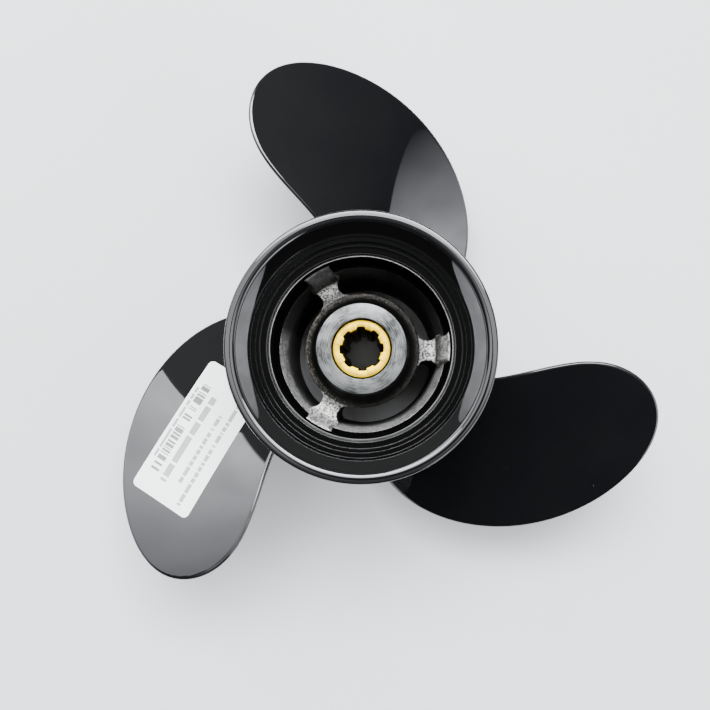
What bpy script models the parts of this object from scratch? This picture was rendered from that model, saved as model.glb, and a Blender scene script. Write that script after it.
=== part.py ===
"""A three-blade aluminium propeller for a small outboard motor, with exhaust through its hub.

It stands on the front rim of its barrel, as on a table. +Z runs along the shaft's axis towards
the rear, where the bell opens, and the origin lies on the axis in the plane of the front rim.
Seen from behind, which is from above here, it drives the boat forward when it turns clockwise.
"""

import math

import bmesh
import bpy
import numpy as np

MM = 0.001
GAP = 0.3 * MM

# Driving dimensions
DIAMETER = 9.25 * 25.4 * MM
PITCH = 9.0 * 25.4 * MM
TIP_RADIUS = DIAMETER / 2
BLADES = 3
HUB_LENGTH = 106.0 * MM

# The barrel and its bell
LIP_RADIUS = 47.3 * MM
LIP_WIDTH = 4.0 * MM
LIP_ROUND = 1.5 * MM
BARREL_RADIUS = 34.6 * MM
FLARE_START = 72.0 * MM
FLARE_POWER = 2.6
RIM_CHAMFER = 0.6 * MM
PASSAGE_RADIUS = 28.7 * MM
PASSAGE_RADIUS_FRONT = 29.3 * MM
LEDGE_LOW = 60.0 * MM
LEDGE_HIGH = 75.3 * MM
LEDGE_RADIUS = 30.7 * MM
CHAMBER_RADIUS = 31.6 * MM
MACHINED_EDGE_RADIUS = 32.15 * MM
MACHINED_EDGE_DEPTH = 10.4 * MM
GROOVE_RADIUS = 39.4 * MM
GROOVE_DEPTH = 4.9 * MM

# The inner hub
FACE_HEIGHT = 88.1 * MM
FACE_RADIUS = 16.4 * MM
FACE_BORE = 11.15 * MM
SHOULDER_HEIGHT = 71.2 * MM
SHOULDER_RADIUS = 21.6 * MM
INNER_HUB_FRONT_RADIUS = 20.6 * MM
INNER_HUB_FRONT = 6.5 * MM
BUSH_BORE = 15.8 * MM
BUSH_BORE_END = 66.0 * MM

# The spokes between the inner hub and the barrel
SPOKE_ANGLE = 1.5
SPOKE_WIDTH = 8.0 * MM
SPOKE_FILLET = 2.4 * MM
SPOKE_TOP = 70.0 * MM
SPOKE_FRONT = 14.0 * MM
RIB_FOOT_RADIUS = 28.9 * MM
RIB_TOP_RADIUS = 30.9 * MM
RIB_TOP = 92.5 * MM
RIB_WIDTH_LOW = 11.4 * MM
RIB_WIDTH_HIGH = 10.8 * MM

# The blades, as the offset table of a propeller drawing: at each share of the tip radius, the
# angles of the leading and the trailing edge in degrees, and the greatest thickness in mm
BLADE_TABLE = (
    (0.30, 32.5, 103.5, 9.0),
    (0.40, 37.0, 108.0, 7.8),
    (0.50, 43.4, 112.5, 6.7),
    (0.60, 53.0, 116.3, 5.7),
    (0.70, 62.2, 118.6, 4.9),
    (0.80, 72.5, 118.9, 4.1),
    (0.90, 84.9, 116.5, 3.3),
    (0.95, 92.4, 113.7, 2.9),
    (0.98, 98.0, 110.8, 2.5),
)
TIP_ANGLE = 105.2
BLADE_HEIGHT = 47.0 * MM
BLADE_HEIGHT_ANGLE = 90.0
BLADE_HEIGHT_RADIUS = 75.0 * MM
RAKE = 3.0
EDGE_THICKNESS = 1.7 * MM
ROOT_RADIUS = 31.5 * MM
ROOT_FILLET = 5.0 * MM
ROOT_SINK = 0.15 * MM

# The brass sleeve and the rubber bushing
SLEEVE_RADIUS = 10.45 * MM
SLEEVE_FRONT = 8.5 * MM
SLEEVE_REAR = 85.5 * MM
SPLINE_RADIUS = 6.75 * MM
SPLINE_FLOOR = 8.05 * MM
SPLINES = 8
SPLINE_SLOT = 2.9 * MM
SPLINE_ANGLE = 4.0
BUSH_FRONT = 12.0 * MM
BUSH_REAR = 64.0 * MM
BUSH_CHAMFER = 1.0 * MM

# The label on the lower left blade
LABEL_BLADE = 2
LABEL_LENGTH = 57.5 * MM
LABEL_WIDTH = 27.0 * MM
LABEL_THICKNESS = 0.25 * MM
LABEL_CENTRE = (-65.7 * MM, -36.0 * MM)
LABEL_TURN = 62.0
LABEL_CORNER = 2.5 * MM

# How finely the round and the curved shapes are divided
BARREL_STEPS = 72
INNER_STEPS = 48
FILLET_STATIONS = (0.0, 0.4, 1.2, 2.6, 5.0)
BLADE_STATIONS = 20
STATION_POWER = 1.8
BLADE_CHORDS = 10
EDGE_TURNS = (45, 0, -45)
OUTLINE_DEGREE = 8


def clear_scene():
    """Removes whatever the file holds at the start."""
    for item in list(bpy.data.objects):
        bpy.data.objects.remove(item, do_unlink=True)


def new_collection(name):
    """A collection directly under the scene's own."""
    collection = bpy.data.collections.new(name)
    bpy.context.scene.collection.children.link(collection)
    return collection


def new_material(name, colour, roughness, metallic):
    """One finish as a Principled material."""
    material = bpy.data.materials.new(name)
    material.use_nodes = True
    shader = material.node_tree.nodes["Principled BSDF"]
    shader.inputs["Base Color"].default_value = (*colour, 1.0)
    shader.inputs["Roughness"].default_value = roughness
    shader.inputs["Metallic"].default_value = metallic
    return material


def new_object(name, mesh, collection, material=None):
    """An object in the collection, with its material and smooth shading up to 35 degrees."""
    item = bpy.data.objects.new(name, mesh)
    collection.objects.link(item)
    if material is not None:
        mesh.materials.append(material)
    mesh.shade_smooth()
    mesh.set_sharp_from_angle(angle=math.radians(35))
    return item


def polar(radius, degrees, height=0.0):
    """The point at this radius, angle and height about the shaft's axis."""
    angle = math.radians(degrees)
    return (radius * math.cos(angle), radius * math.sin(angle), height)


def arc(centre, radius, start, end, count):
    """Points along an arc in the plane of the profile, as (radius, height) pairs."""
    angles = [math.radians(start + (end - start) * i / (count - 1)) for i in range(count)]
    return [(centre[0] + radius * math.cos(a), centre[1] + radius * math.sin(a)) for a in angles]


def turned(name, profile, steps, collection, material=None):
    """A closed (radius, height) profile turned about the shaft's axis."""
    mesh = bpy.data.meshes.new(name)
    shape = bmesh.new()
    points = [shape.verts.new((radius, 0.0, height)) for radius, height in profile]
    for index, point in enumerate(points):
        shape.edges.new((point, points[(index + 1) % len(points)]))
    shape.to_mesh(mesh)
    shape.free()
    item = new_object(name, mesh, collection, material)
    screw = item.modifiers.new("Turn", "SCREW")
    screw.steps = steps
    screw.render_steps = steps
    screw.use_merge_vertices = True
    screw.merge_threshold = 0.1 * MM
    screw.use_smooth_shade = True
    return item


def extruded(name, outlines, low, high, collection, material=None):
    """Flat outlines, the first one the outer, extruded from one height to another."""
    curve = bpy.data.curves.new(name, "CURVE")
    curve.dimensions = "2D"
    curve.fill_mode = "BOTH"
    curve.extrude = (high - low) / 2
    for outline in outlines:
        spline = curve.splines.new("POLY")
        spline.points.add(len(outline) - 1)
        spline.use_cyclic_u = True
        for point, (x, y) in zip(spline.points, outline):
            point.co = (x, y, 0.0, 1.0)
    guide = bpy.data.objects.new(name + "_outline", curve)
    guide.location.z = (low + high) / 2
    collection.objects.link(guide)
    bpy.context.view_layer.update()
    graph = bpy.context.evaluated_depsgraph_get()
    mesh = bpy.data.meshes.new_from_object(guide.evaluated_get(graph))
    mesh.materials.clear()
    shape = bmesh.new()
    shape.from_mesh(mesh)
    bmesh.ops.remove_doubles(shape, verts=shape.verts, dist=0.01 * MM)
    bmesh.ops.recalc_face_normals(shape, faces=shape.faces)
    shape.to_mesh(mesh)
    shape.free()
    item = new_object(name, mesh, collection, material)
    item.matrix_world = guide.matrix_world.copy()
    bpy.data.objects.remove(guide, do_unlink=True)
    return item


def lip_arc(start, end, count):
    """Points over the lip's rounded top, which is wider than it is high, between two angles."""
    middle = LIP_RADIUS - LIP_WIDTH / 2
    points = arc((0.0, 0.0), 1.0, start, end, count)
    return [(middle + LIP_WIDTH / 2 * x, HUB_LENGTH + LIP_ROUND * (y - 1)) for x, y in points]


def barrel_profile():
    """The barrel's wall: down the outside from the lip, under the front rim and up the inside."""
    flare_top = HUB_LENGTH - LIP_ROUND
    outside = lip_arc(90, 0, 6)
    for share in (0.85, 0.7, 0.55, 0.4, 0.25, 0.1):
        height = FLARE_START + (flare_top - FLARE_START) * share
        swell = (LIP_RADIUS - BARREL_RADIUS) * share**FLARE_POWER
        outside.append((BARREL_RADIUS + swell, height))
    outside.append((BARREL_RADIUS, RIM_CHAMFER))
    outside.append((BARREL_RADIUS - RIM_CHAMFER, 0.0))
    edge = HUB_LENGTH - MACHINED_EDGE_DEPTH
    groove = HUB_LENGTH - GROOVE_DEPTH
    inside = [
        (PASSAGE_RADIUS_FRONT + RIM_CHAMFER, 0.0),
        (PASSAGE_RADIUS_FRONT, RIM_CHAMFER),
        (PASSAGE_RADIUS, LEDGE_LOW),
        (LEDGE_RADIUS, LEDGE_HIGH),
        (CHAMBER_RADIUS, LEDGE_HIGH + 1.5 * MM),
        (CHAMBER_RADIUS, edge - 0.6 * MM),
        (MACHINED_EDGE_RADIUS, edge),
        (MACHINED_EDGE_RADIUS + 1.6 * MM, edge + 1.8 * MM),
        (MACHINED_EDGE_RADIUS + 4.2 * MM, edge + 3.4 * MM),
        (GROOVE_RADIUS, groove),
        (GROOVE_RADIUS + 2.2 * MM, groove + 1.8 * MM),
    ]
    inside += lip_arc(180, 110, 5)
    return outside + inside


def inner_hub_profile():
    """The inner hub: from its rear face down the outside and up the bore for the bushing."""
    return [
        (FACE_RADIUS, FACE_HEIGHT),
        (FACE_RADIUS + 0.5 * MM, FACE_HEIGHT - 0.5 * MM),
        (FACE_RADIUS + 1.0 * MM, SHOULDER_HEIGHT + 7.0 * MM),
        (FACE_RADIUS + 1.8 * MM, SHOULDER_HEIGHT + 3.2 * MM),
        (FACE_RADIUS + 3.2 * MM, SHOULDER_HEIGHT + 1.3 * MM),
        (SHOULDER_RADIUS - 0.7 * MM, SHOULDER_HEIGHT),
        (SHOULDER_RADIUS, SHOULDER_HEIGHT - 0.9 * MM),
        (INNER_HUB_FRONT_RADIUS, INNER_HUB_FRONT + 0.5 * MM),
        (INNER_HUB_FRONT_RADIUS - 0.5 * MM, INNER_HUB_FRONT),
        (BUSH_BORE + 0.8 * MM, INNER_HUB_FRONT),
        (BUSH_BORE, INNER_HUB_FRONT + 0.8 * MM),
        (BUSH_BORE, BUSH_BORE_END),
        (FACE_BORE, BUSH_BORE_END + 2.0 * MM),
        (FACE_BORE, FACE_HEIGHT),
    ]


def spoke_outline(angle):
    """A spoke seen from behind: straight sides that flare into the inner hub and the barrel."""
    start = (BUSH_BORE + SHOULDER_RADIUS) / 2
    end = (PASSAGE_RADIUS + BARREL_RADIUS) / 2
    wide = SPOKE_WIDTH / 2 + SPOKE_FILLET
    foot = math.sqrt(SHOULDER_RADIUS**2 - wide**2)
    side = [(start, wide), (foot, wide)]
    side += arc((foot + SPOKE_FILLET, wide), SPOKE_FILLET, 195, 270, 5)
    side += arc((PASSAGE_RADIUS - SPOKE_FILLET, wide), SPOKE_FILLET, 270, 345, 5)
    side += [(PASSAGE_RADIUS, wide), (end, wide)]
    loop = side + [(along, -across) for along, across in reversed(side)]
    turn = math.radians(angle)
    c, s = math.cos(turn), math.sin(turn)
    return [(along * c - across * s, along * s + across * c) for along, across in loop]


def wall_rib(name, angle, collection):
    """The rough raised rib on the barrel's wall above a spoke, whose face leans out to the top."""
    back = CHAMBER_RADIUS + 1.2 * MM
    low = SPOKE_TOP - 4.0 * MM
    mesh = bpy.data.meshes.new(name)
    shape = bmesh.new()
    bmesh.ops.create_cube(shape, size=1.0)
    for vert in shape.verts:
        upper = vert.co.z > 0
        face = RIB_TOP_RADIUS if upper else RIB_FOOT_RADIUS
        vert.co.x = back if vert.co.x > 0 else face
        vert.co.y *= RIB_WIDTH_HIGH if upper else RIB_WIDTH_LOW
        vert.co.z = RIB_TOP if upper else low
    shape.to_mesh(mesh)
    shape.free()
    item = new_object(name, mesh, collection)
    item.rotation_euler.z = math.radians(angle)
    return item


def edge_angles(share):
    """The angles of the leading and the trailing edge at this share of the tip radius.

    The outline is one smooth curve through the tip, so both edges are one polynomial of the
    signed root of the distance to the tip: below zero for the leading edge, above for the other.
    """
    signed = [-math.sqrt(1 - row[0]) for row in BLADE_TABLE] + [0.0]
    signed += [math.sqrt(1 - row[0]) for row in reversed(BLADE_TABLE)]
    angles = [row[1] for row in BLADE_TABLE] + [TIP_ANGLE] + [row[2] for row in reversed(BLADE_TABLE)]
    curve = np.polyfit(signed, angles, OUTLINE_DEGREE)
    root = math.sqrt(max(1 - share, 0.0))
    return float(np.polyval(curve, -root)), float(np.polyval(curve, root))


def blade_thickness(share):
    """The greatest thickness of the blade's section at this share of the tip radius."""
    shares = [row[0] for row in BLADE_TABLE]
    return float(np.interp(share, shares, [row[3] for row in BLADE_TABLE])) * MM


def face_height(radius, degrees):
    """The height of the blade's driving face: a true helix of the stated pitch, with some rake."""
    climb = PITCH * (degrees - BLADE_HEIGHT_ANGLE) / 360
    lean = math.tan(math.radians(RAKE)) * (radius - BLADE_HEIGHT_RADIUS)
    return BLADE_HEIGHT + climb + lean


def pitch_angle(radius):
    """How steeply the helix climbs at this radius, in radians."""
    return math.atan2(PITCH, 2 * math.pi * radius)


def section_point(radius, degrees, along, behind):
    """A point of the blade's section, which is drawn on the cylinder of this radius, unrolled.

    It lies this far along the pitch line from the angle, and this far behind the driving face.
    """
    climb = pitch_angle(radius)
    around = along * math.cos(climb) - behind * math.sin(climb)
    height = face_height(radius, degrees) + along * math.sin(climb) + behind * math.cos(climb)
    return polar(radius, degrees + math.degrees(around / radius), height)


def root_fillet(radius):
    """How much the round fillet at the barrel thickens the section on each side."""
    away = min(max(radius - (BARREL_RADIUS - ROOT_SINK), 0.0), ROOT_FILLET)
    return ROOT_FILLET - math.sqrt(ROOT_FILLET**2 - (ROOT_FILLET - away) ** 2)


def blade_section(radius):
    """One section's loop: round the leading edge, the driving face, the other edge and back."""
    share = radius / TIP_RADIUS
    leading, trailing = edge_angles(share)
    fillet = root_fillet(radius)
    chord = math.radians(trailing - leading) * radius / math.cos(pitch_angle(radius))
    inset = min(EDGE_THICKNESS / 2, chord / 6)
    thick = blade_thickness(share)
    front, back = [], []
    for index in range(BLADE_CHORDS):
        across = index / (BLADE_CHORDS - 1)
        along = inset + (chord - 2 * inset) * across
        crown = 1 - (2 * across - 1) ** 2
        depth = EDGE_THICKNESS + (thick - EDGE_THICKNESS) * crown
        back.append(section_point(radius, leading, along, fillet))
        front.append(section_point(radius, leading, along, -depth - fillet))
    nose, tail = [], []
    for turn in EDGE_TURNS:
        out = (inset + fillet) * math.cos(math.radians(turn))
        up = (EDGE_THICKNESS / 2 + fillet) * math.sin(math.radians(turn)) - EDGE_THICKNESS / 2
        nose.append(section_point(radius, leading, inset - out, up))
        tail.append(section_point(radius, leading, chord - inset + out, up))
    return [*reversed(nose), *back, *tail, *reversed(front)]


def cap_section(shape, ring):
    """Closes one end of the blade with a strip between its two faces and a fan at each edge."""
    turns = len(EDGE_TURNS)
    count = len(ring)
    for index in range(turns, turns + BLADE_CHORDS - 1):
        facing = count - 1 - (index - turns)
        shape.faces.new((ring[index], ring[index + 1], ring[facing - 1], ring[facing]))
    shape.faces.new([ring[-1], *ring[: turns + 1]])
    tail = turns + BLADE_CHORDS - 1
    shape.faces.new(ring[tail : tail + turns + 2])


def blade(name, turn, collection):
    """One blade, lofted between its sections and closed inside the barrel's wall and at the tip."""
    stations = [ROOT_RADIUS]
    stations += [BARREL_RADIUS - ROOT_SINK + away * MM for away in FILLET_STATIONS]
    start = stations[-1]
    for index in range(1, BLADE_STATIONS):
        away = 1 - index / (BLADE_STATIONS - 1)
        stations.append(TIP_RADIUS - 0.05 * MM - (TIP_RADIUS - start) * away**STATION_POWER)
    mesh = bpy.data.meshes.new(name)
    shape = bmesh.new()
    rings = [[shape.verts.new(point) for point in blade_section(radius)] for radius in stations]
    count = len(rings[0])
    for inner, outer in zip(rings, rings[1:]):
        for index in range(count):
            after = (index + 1) % count
            shape.faces.new((inner[index], inner[after], outer[after], outer[index]))
    for ring in (rings[0], rings[-1]):
        cap_section(shape, ring)
    bmesh.ops.triangulate(shape, faces=shape.faces)
    bmesh.ops.recalc_face_normals(shape, faces=shape.faces)
    shape.to_mesh(mesh)
    shape.free()
    item = new_object(name, mesh, collection)
    item.rotation_euler.z = math.radians(turn)
    return item


def make_casting(parts, pieces):
    """The one-piece casting: barrel, bell, inner hub, spokes and blades, joined into one solid."""
    turned("inner_hub", inner_hub_profile(), INNER_STEPS, pieces)
    for index in range(BLADES):
        angle = SPOKE_ANGLE + index * 360 / BLADES
        extruded(f"spoke_{index + 1}", [spoke_outline(angle)], SPOKE_FRONT, SPOKE_TOP, pieces)
        wall_rib(f"wall_rib_{index + 1}", angle, pieces)
        blade(f"blade_{index + 1}", -index * 360 / BLADES, pieces)
    for item in pieces.objects:
        item.hide_render = True
        item.display_type = "WIRE"
    paint = new_material("gloss_black_paint", (0.008, 0.008, 0.010), 0.08, 0.0)
    casting = turned("propeller_casting", barrel_profile(), BARREL_STEPS, parts, paint)
    join = casting.modifiers.new("Join", "BOOLEAN")
    join.operation = "UNION"
    join.solver = "EXACT"
    join.operand_type = "COLLECTION"
    join.collection = pieces
    return casting


def make_sleeve(parts):
    """The brass sleeve, with the square slots that the shaft's splines fill."""
    outer = [polar(SLEEVE_RADIUS, 360 * i / INNER_STEPS)[:2] for i in range(INNER_STEPS)]
    half_floor = math.degrees(math.asin(SPLINE_SLOT / 2 / SPLINE_FLOOR))
    half_mouth = math.degrees(math.asin(SPLINE_SLOT / 2 / SPLINE_RADIUS))
    step = 360 / SPLINES
    inner = []
    for index in range(SPLINES):
        angle = SPLINE_ANGLE + index * step
        inner.append(polar(SPLINE_RADIUS, angle - half_mouth)[:2])
        for share in (-1, 0, 1):
            inner.append(polar(SPLINE_FLOOR, angle + share * half_floor)[:2])
        tooth = step - 2 * half_mouth
        for share in (0.0, 0.33, 0.67):
            inner.append(polar(SPLINE_RADIUS, angle + half_mouth + tooth * share)[:2])
    brass = new_material("brass", (0.80, 0.58, 0.24), 0.30, 1.0)
    return extruded("splined_sleeve", [outer, inner], SLEEVE_FRONT, SLEEVE_REAR, parts, brass)


def make_bushing(parts):
    """The rubber bushing, pressed between the sleeve and the inner hub."""
    inner = SLEEVE_RADIUS + GAP
    outer = BUSH_BORE - GAP
    profile = [
        (outer - BUSH_CHAMFER, BUSH_REAR),
        (outer, BUSH_REAR - BUSH_CHAMFER),
        (outer, BUSH_FRONT + BUSH_CHAMFER),
        (outer - BUSH_CHAMFER, BUSH_FRONT),
        (inner, BUSH_FRONT),
        (inner, BUSH_REAR),
    ]
    rubber = new_material("black_rubber", (0.02, 0.02, 0.02), 0.8, 0.0)
    return turned("rubber_bushing", profile, INNER_STEPS, parts, rubber)


def label_point(along, across):
    """A point of the label, whose sides are cut off at the corners, laid on the driving face."""
    turn = math.radians(LABEL_TURN)
    x = LABEL_CENTRE[0] + along * math.cos(turn) - across * math.sin(turn)
    y = LABEL_CENTRE[1] + along * math.sin(turn) + across * math.cos(turn)
    radius = math.hypot(x, y)
    own = math.degrees(math.atan2(y, x)) + LABEL_BLADE * 360 / BLADES
    own = (own + 180) % 360 - 180
    lift = GAP / math.cos(pitch_angle(radius))
    return (x, y, face_height(radius, own) + lift)


def make_label(parts):
    """The thin paper label stuck to one blade's driving face."""
    mesh = bpy.data.meshes.new("blade_label")
    shape = bmesh.new()
    bmesh.ops.create_grid(shape, x_segments=16, y_segments=8, size=0.5)
    for vert in shape.verts:
        along = vert.co.x * LABEL_LENGTH
        across = vert.co.y * LABEL_WIDTH
        if abs(vert.co.x) > 0.49 and abs(vert.co.y) > 0.49:
            along -= math.copysign(LABEL_CORNER / 2, along)
            across -= math.copysign(LABEL_CORNER / 2, across)
        vert.co = label_point(along, across)
    shape.to_mesh(mesh)
    shape.free()
    paper = new_material("white_paper", (0.85, 0.85, 0.82), 0.6, 0.0)
    item = new_object("blade_label", mesh, parts, paper)
    skin = item.modifiers.new("Thickness", "SOLIDIFY")
    skin.thickness = LABEL_THICKNESS
    skin.offset = 1.0
    return item


def main():
    """Builds the whole propeller."""
    clear_scene()
    parts = new_collection("outboard_propeller")
    pieces = new_collection("casting_pieces")
    make_casting(parts, pieces)
    make_sleeve(parts)
    make_bushing(parts)
    make_label(parts)


main()
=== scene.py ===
# %% [markdown]
# # A small outboard propeller, dressed for the camera
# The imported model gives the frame: four pieces whose places and sizes are fixed. This lesson keeps
# those places and makes each surface again, smooth and finely finished. It covers the enamelled
# casting with its helical blades, the turned bell, the brass sleeve, the rubber bushing and the
# label.

# %% Load the frame
import functools
import math

import bmesh
import bpy
import numpy as np
from mathutils import Matrix, Vector
from mathutils.kdtree import KDTree


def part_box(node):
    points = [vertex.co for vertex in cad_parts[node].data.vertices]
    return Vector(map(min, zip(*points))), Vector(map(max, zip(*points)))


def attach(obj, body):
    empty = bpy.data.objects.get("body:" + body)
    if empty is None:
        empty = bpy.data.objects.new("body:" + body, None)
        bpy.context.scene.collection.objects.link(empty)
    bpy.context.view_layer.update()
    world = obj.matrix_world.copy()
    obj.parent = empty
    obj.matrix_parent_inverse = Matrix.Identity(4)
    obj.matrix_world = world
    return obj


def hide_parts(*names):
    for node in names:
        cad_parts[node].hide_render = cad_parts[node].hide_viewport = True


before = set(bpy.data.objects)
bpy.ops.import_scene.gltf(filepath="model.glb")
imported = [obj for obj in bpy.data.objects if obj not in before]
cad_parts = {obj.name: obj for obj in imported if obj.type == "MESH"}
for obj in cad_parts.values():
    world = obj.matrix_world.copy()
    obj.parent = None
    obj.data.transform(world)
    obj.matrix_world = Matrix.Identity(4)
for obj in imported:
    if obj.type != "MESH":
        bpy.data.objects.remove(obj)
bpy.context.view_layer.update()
MM = 0.001
print("frame nodes:", sorted(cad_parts))

# %% [markdown]
# Sizes come first, in metres. They repeat the driving dimensions of the propeller's drawing: the
# diameter and the pitch are the two numbers that every propeller is sold by, and the rest follows
# the casting. Angles are in degrees, counted counter-clockwise from +X, seen from behind the boat.

# %% Sizes of the propeller
INCH = 25.4 * MM
DIAMETER = 9.25 * INCH
# The tips stay a hair inside the solids' box.
TIP_RADIUS = DIAMETER / 2 - 0.03 * MM
PITCH = 9.0 * INCH
BLADES = 3
TURN = 2 * math.pi

HUB_LENGTH = 106.0 * MM
LIP_RADIUS = 47.3 * MM
LIP_ROUND = 1.5 * MM
LIP_WIDTH = 4.0 * MM
LIP_CREST = 2.05 * MM
LIP_DIP = 0.9 * MM
LIP_SOFTNESS = 1.65
LIP_SQUARENESS = 4.8
BARREL_RADIUS = 34.6 * MM
FLARE_START = 72.0 * MM
FLARE_POWER = 2.6
RIM_CHAMFER = 0.6 * MM
PASSAGE_RADIUS = 28.7 * MM
PASSAGE_RADIUS_FRONT = 29.3 * MM
LEDGE_LOW = 60.0 * MM
LEDGE_HIGH = 75.3 * MM
LEDGE_RADIUS = 30.7 * MM
CHAMBER_RADIUS = 31.6 * MM
EDGE_RADIUS = 32.15 * MM
EDGE_HEIGHT = HUB_LENGTH - 10.4 * MM
GROOVE_RADIUS = 39.5 * MM
GROOVE_HEIGHT = HUB_LENGTH - 4.3 * MM

FACE_HEIGHT = 88.1 * MM
FACE_RADIUS = 16.4 * MM
FACE_BORE = 10.95 * MM
CROWN_START = 12.0 * MM
CROWN = 0.38 * MM
COVE_HEIGHT = 4.5 * MM
SHOULDER_HEIGHT = 71.2 * MM
SHOULDER_RADIUS = 21.6 * MM
INNER_FRONT_RADIUS = 20.6 * MM
INNER_FRONT = 6.5 * MM
BUSH_BORE = 15.8 * MM
BUSH_BORE_END = 66.0 * MM

SPOKE_ANGLE = 1.5
SPOKE_WAIST = 7.5 * MM
HUB_FLARE = 3.0 * MM
WALL_FLARE = 3.2 * MM
SPOKE_TOP = 70.0 * MM
SPOKE_FRONT = 14.0 * MM
RIB_TOP = 92.5 * MM
RIB_FOOT_RADIUS = 28.9 * MM
RIB_TOP_RADIUS = 30.9 * MM
RIB_WIDTH = 9.8 * MM
RIB_LEAN = math.radians(1.2)

SLEEVE_RADIUS = 10.45 * MM
SLEEVE_FRONT = 8.5 * MM
SLEEVE_REAR = 85.5 * MM
SPLINE_RADIUS = 6.75 * MM
SPLINE_FLOOR = 8.05 * MM
SPLINES = 8
SPLINE_SLOT = 2.9 * MM
SPLINE_ANGLE = 4.0

# %% [markdown]
# Materials, lights and Geometry Nodes are all node trees. Building one line by line is wordy, so a
# small helper adds a node and wires its inputs in one call: a value is set, and a socket is linked.
# Sums and products have helpers of their own, which chain Math nodes.

# %% Helpers for node trees


def add_node(tree, kind, inputs=None, **settings):
    """Adds one node, sets its properties, and sets or links its inputs by name or number."""
    node = tree.nodes.new(kind)
    for key, value in settings.items():
        setattr(node, key, value)
    for key, value in (inputs or {}).items():
        if isinstance(value, bpy.types.NodeSocket):
            tree.links.new(value, node.inputs[key])
        else:
            node.inputs[key].default_value = value
    return node


def maths(tree, operation, *values):
    """One Math node: its operation on the values or sockets given."""
    return add_node(tree, "ShaderNodeMath", dict(enumerate(values)), operation=operation).outputs[0]


def in_turn(operation):
    """A helper that applies a Math node's operation to its values, from the first to the last."""

    def applied(tree, *values):
        return functools.reduce(lambda first, second: maths(tree, operation, first, second), values)

    return applied


plus, minus, times, largest = map(in_turn, ("ADD", "SUBTRACT", "MULTIPLY", "MAXIMUM"))


def vector_maths(tree, operation, *values):
    """One Vector Math node."""
    return add_node(tree, "ShaderNodeVectorMath", dict(enumerate(values)), operation=operation).outputs[0]


def split(tree, vector):
    """The X, Y and Z of a vector."""
    return add_node(tree, "ShaderNodeSeparateXYZ", {0: vector}).outputs


def joined(tree, x=0.0, y=0.0, z=0.0):
    """The vector with this X, Y and Z."""
    return add_node(tree, "ShaderNodeCombineXYZ", {0: x, 1: y, 2: z}).outputs[0]


def ramp(tree, factor, low, high, bottom=0.0, top=1.0):
    """Maps a value smoothly from the range low to high onto the range bottom to top."""
    inputs = {"Value": factor, "From Min": low, "From Max": high, "To Min": bottom, "To Max": top}
    return add_node(tree, "ShaderNodeMapRange", inputs, interpolation_type="SMOOTHSTEP").outputs[0]


def mix_colours(tree, factor, first, second):
    """Mixes two colours, or colour sockets, by a factor from 0 to 1."""
    return add_node(tree, "ShaderNodeMix", {0: factor, 6: first, 7: second}, data_type="RGBA").outputs[2]


# %% [markdown]
# A material here is a Principled shader with a few texture nodes in front of it. What is the same
# all over the surface is set on the shader's own sockets, and what varies is linked. Every pattern
# reads Object coordinates, because each finished piece lies at the origin with its place in its
# mesh, so the pattern sticks to it.

# %% Helpers for materials


def grey(value, tint=(1.0, 1.0, 1.0)):
    """A grey of this linear value, slightly tinted."""
    return (value * tint[0], value * tint[1], value * tint[2], 1.0)


def noise(tree, coords, scale, detail=3.0, roughness=0.5):
    """The value of a noise texture."""
    inputs = {"Vector": coords, "Scale": scale, "Detail": detail, "Roughness": roughness}
    return add_node(tree, "ShaderNodeTexNoise", inputs).outputs["Fac"]


def new_material(name, **sockets):
    """A Principled material with constant sockets, its node tree and its Object coordinates."""
    material = bpy.data.materials.new(name)
    material.use_nodes = True
    tree = material.node_tree
    shader = tree.nodes["Principled BSDF"]
    for key, value in sockets.items():
        shader.inputs[key.replace("_", " ")].default_value = value
    coords = add_node(tree, "ShaderNodeTexCoord").outputs["Object"]
    return material, tree, shader, coords


def feed(tree, shader, **sockets):
    """Links sockets into the shader's inputs by name."""
    for key, socket in sockets.items():
        tree.links.new(socket, shader.inputs[key.replace("_", " ")])


def bump(tree, shader, height, distance, strength=1.0):
    """Adds a bump in front of the shader's normal, after any bump that is there."""
    inputs = {"Height": height, "Distance": distance, "Strength": strength}
    node = add_node(tree, "ShaderNodeBump", inputs)
    linked = shader.inputs["Normal"].links
    if linked:
        tree.links.new(linked[0].from_socket, node.inputs["Normal"])
    feed(tree, shader, Normal=node.outputs[0])


def polar_coords(tree, coords):
    """The distance from the shaft's axis, the angle round it and the height, as three sockets."""
    x, y, z = split(tree, coords)
    squares = plus(tree, times(tree, x, x), times(tree, y, y))
    return maths(tree, "SQRT", squares), maths(tree, "ARCTAN2", y, x), z


# %% [markdown]
# The casting wears gloss black enamel. It is a nearly black base under a clear coat: the base is
# rough and the coat is sharp, which gives the deep wet look. Two things break the perfection that
# a flat colour has: a very shallow orange peel in the coat, and a few specks of dust.

# %% Enamel
CLEAR_COAT = {"Coat_IOR": 1.52, "Specular_IOR_Level": 0.0}
DUST = grey(0.22)
# The share of cells that hold no speck, and the scale and detail of the orange peel's noise
EMPTY_CELLS = 0.72
PEEL = (260.0, 2.0)


def dust_specks(tree, coords, scale, size):
    """A mask of tiny scattered specks: 1 inside a speck and 0 elsewhere."""
    inputs = {"Vector": coords, "Scale": scale, "Randomness": 1.0}
    cells = add_node(tree, "ShaderNodeTexVoronoi", inputs)
    near = ramp(tree, cells.outputs["Distance"], size * scale, size * scale * 0.4)
    chosen = add_node(tree, "ShaderNodeSeparateColor", {0: cells.outputs["Color"]}).outputs[0]
    return times(tree, near, maths(tree, "GREATER_THAN", chosen, EMPTY_CELLS))


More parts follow.
